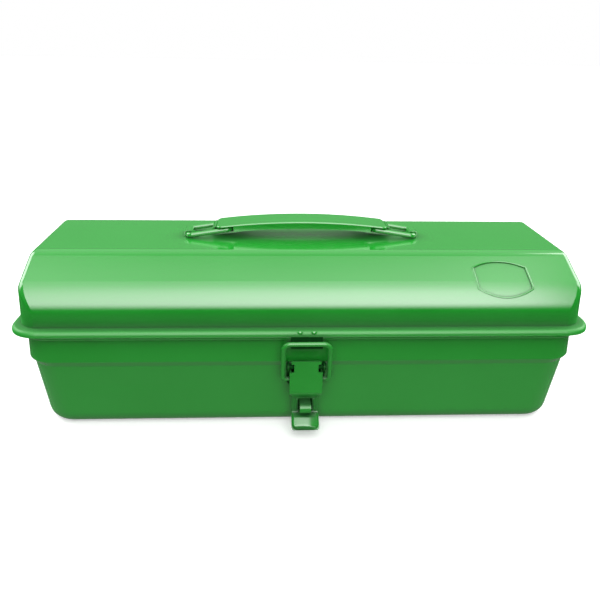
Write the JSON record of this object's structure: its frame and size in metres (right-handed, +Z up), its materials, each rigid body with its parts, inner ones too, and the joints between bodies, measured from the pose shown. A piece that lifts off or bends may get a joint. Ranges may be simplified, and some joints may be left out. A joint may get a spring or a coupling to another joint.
{
  "type": "tool box",
  "caption": "Pressed steel tool box with a camber-top hinged lid, a low lift handle on wire rings and a front draw latch with a wire bail and padlock eye.",
  "frame": {"origin": "centre of the flat underside that the box stands on", "axes": "+X along the length to the right seen from the front, -Y towards the front with the latch, +Z up"},
  "size_m": [0.373, 0.1748, 0.1254],
  "materials": {
    "box_enamel": "glossy green baked enamel",
    "handle_enamel": "glossy green baked enamel",
    "latch_enamel": "glossy green baked enamel",
    "pin_steel": "bright zinc"
  },
  "bodies": {
    "base": {"base_pan": "box_enamel", "latch_bracket": "latch_enamel", "padlock_staple": "latch_enamel", "latch_pin": "latch_enamel", "latch_rivets": "box_enamel", "hinge_rivets_base": "box_enamel", "hinge_base_leaf_left": "box_enamel", "hinge_base_leaf_right": "box_enamel", "hinge_pin_left": "pin_steel", "hinge_pin_right": "pin_steel"},
    "lid": {"lid": "box_enamel", "latch_catch": "latch_enamel", "hinge_rivets_lid": "box_enamel", "hinge_lid_leaf_left": "box_enamel", "hinge_lid_leaf_right": "box_enamel", "handle_strap_left": "handle_enamel", "handle_strap_right": "handle_enamel"},
    "handle": {"handle_grip": "handle_enamel"},
    "ring_left": {"handle_ring_left": "handle_enamel"},
    "ring_right": {"handle_ring_right": "handle_enamel"},
    "lever": {"latch_lever": "latch_enamel"},
    "bail": {"latch_bail": "latch_enamel"}
  },
  "joints": [
    {"name": "lid_hinge", "type": "hinge", "parent": "base", "child": "lid", "pos_m": [0, 0.0849, 0.0703], "axis": [-1, 0, 0], "range_deg": [0, 100]},
    {"name": "handle_lift", "type": "slide", "parent": "lid", "child": "handle", "axis": [0, 0, 1], "range_m": [0, 0.0175]},
    {"name": "ring_left_swing", "type": "hinge", "parent": "lid", "child": "ring_left", "pos_m": [-0.081, 0, 0.1144], "axis": [0, -1, 0], "range_deg": [0, 34.8]},
    {"name": "ring_right_swing", "type": "hinge", "parent": "lid", "child": "ring_right", "pos_m": [0.081, 0, 0.1144], "axis": [0, 1, 0], "range_deg": [0, 34.8]},
    {"name": "lever_swing", "type": "hinge", "parent": "base", "child": "lever", "pos_m": [0, -0.0804, 0.0491], "axis": [-1, 0, 0], "range_deg": [0, 120]},
    {"name": "bail_swing", "type": "hinge", "parent": "lever", "child": "bail", "pos_m": [0, -0.08, 0.0402], "axis": [-1, 0, 0], "range_deg": [-144.1, 0]}
  ],
  "couplings": [
    {"joint": "ring_left_swing", "follows": "handle_lift", "rad_per_m": 34.6},
    {"joint": "ring_right_swing", "follows": "handle_lift", "rad_per_m": 34.6},
    {"joint": "bail_swing", "follows": "lever_swing", "ratio": -1.2}
  ]
}
